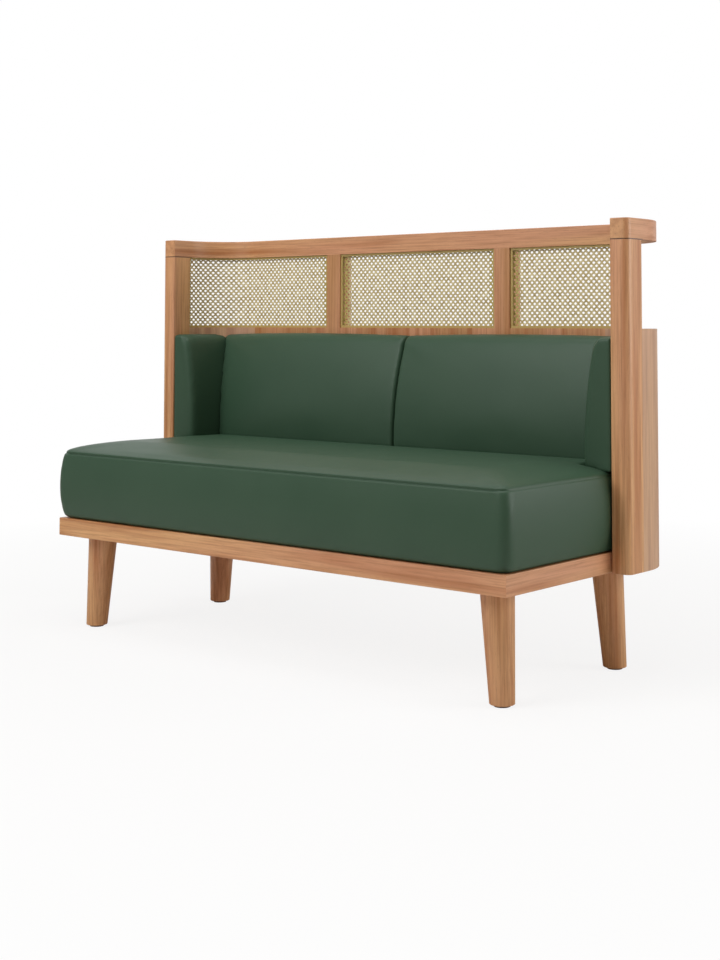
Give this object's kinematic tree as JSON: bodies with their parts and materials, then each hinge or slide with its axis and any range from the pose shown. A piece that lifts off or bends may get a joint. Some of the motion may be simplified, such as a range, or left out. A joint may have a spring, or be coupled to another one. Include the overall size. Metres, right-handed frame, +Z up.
{
  "type": "banquette bench",
  "caption": "Upholstered banquette bench with a wrap-round wooden surround, bent corners, cane panels under the top rail, padded wings and splayed round legs.",
  "frame": {"origin": "on the floor, under the middle of the whole bench", "axes": "+X to the right of someone who faces the bench, along its length; +Y from its front to its back; +Z up"},
  "size_m": [1.5, 0.624, 1],
  "materials": {
    "timber": "satin clear lacquer on straight-grained hardwood",
    "veneer": "satin clear lacquer on vertical-grain veneer",
    "plywood": "sanded, uncoated",
    "cane": "natural woven cane, uncoated",
    "cane_bead": "reed spline, matt",
    "leatherette": "smooth dark green upholstery leather, low sheen",
    "steel": "zinc plated",
    "nylon": "moulded nylon",
    "grip_tape": "hook and loop tape"
  },
  "bodies": {
    "root": {"front_rail": "timber", "rear_rail": "timber", "left_rail": "timber", "right_rail": "timber", "left_bearer": "timber", "centre_bearer": "timber", "right_bearer": "timber", "front_left_block": "timber", "front_right_block": "timber", "rear_left_block": "timber", "rear_right_block": "timber", "front_left_leg": "timber", "front_right_leg": "timber", "rear_left_leg": "timber", "rear_right_leg": "timber", "left_post": "timber", "right_post": "timber", "left_corner_wall": "timber", "right_corner_wall": "timber", "bottom_batten": "timber", "top_batten": "timber", "back_studs": "timber", "left_top_rail": "timber", "right_top_rail": "timber", "back_top_rail": "timber", "left_mullion": "timber", "right_mullion": "timber", "rail_dowels": "timber", "wall_dowels": "timber", "back_outer_skin": "veneer", "back_inner_skin": "veneer", "seat_deck": "plywood", "seat_board": "plywood", "left_back_board": "plywood", "right_back_board": "plywood", "left_wing_board": "plywood", "right_wing_board": "plywood", "left_cane_panel": "cane", "centre_cane_panel": "cane", "right_cane_panel": "cane", "left_cane_beads": "cane_bead", "centre_cane_beads": "cane_bead", "right_cane_beads": "cane_bead", "seat_cushion": "leatherette", "left_back_cushion": "leatherette", "right_back_cushion": "leatherette", "left_wing_pad": "leatherette", "right_wing_pad": "leatherette", "deck_screws": "steel", "leg_bolts": "steel", "leg_nuts": "steel", "wall_bolts": "steel", "floor_glides": "nylon", "wall_spacers": "nylon", "grip_tapes": "grip_tape"}
  },
  "joints": []
}
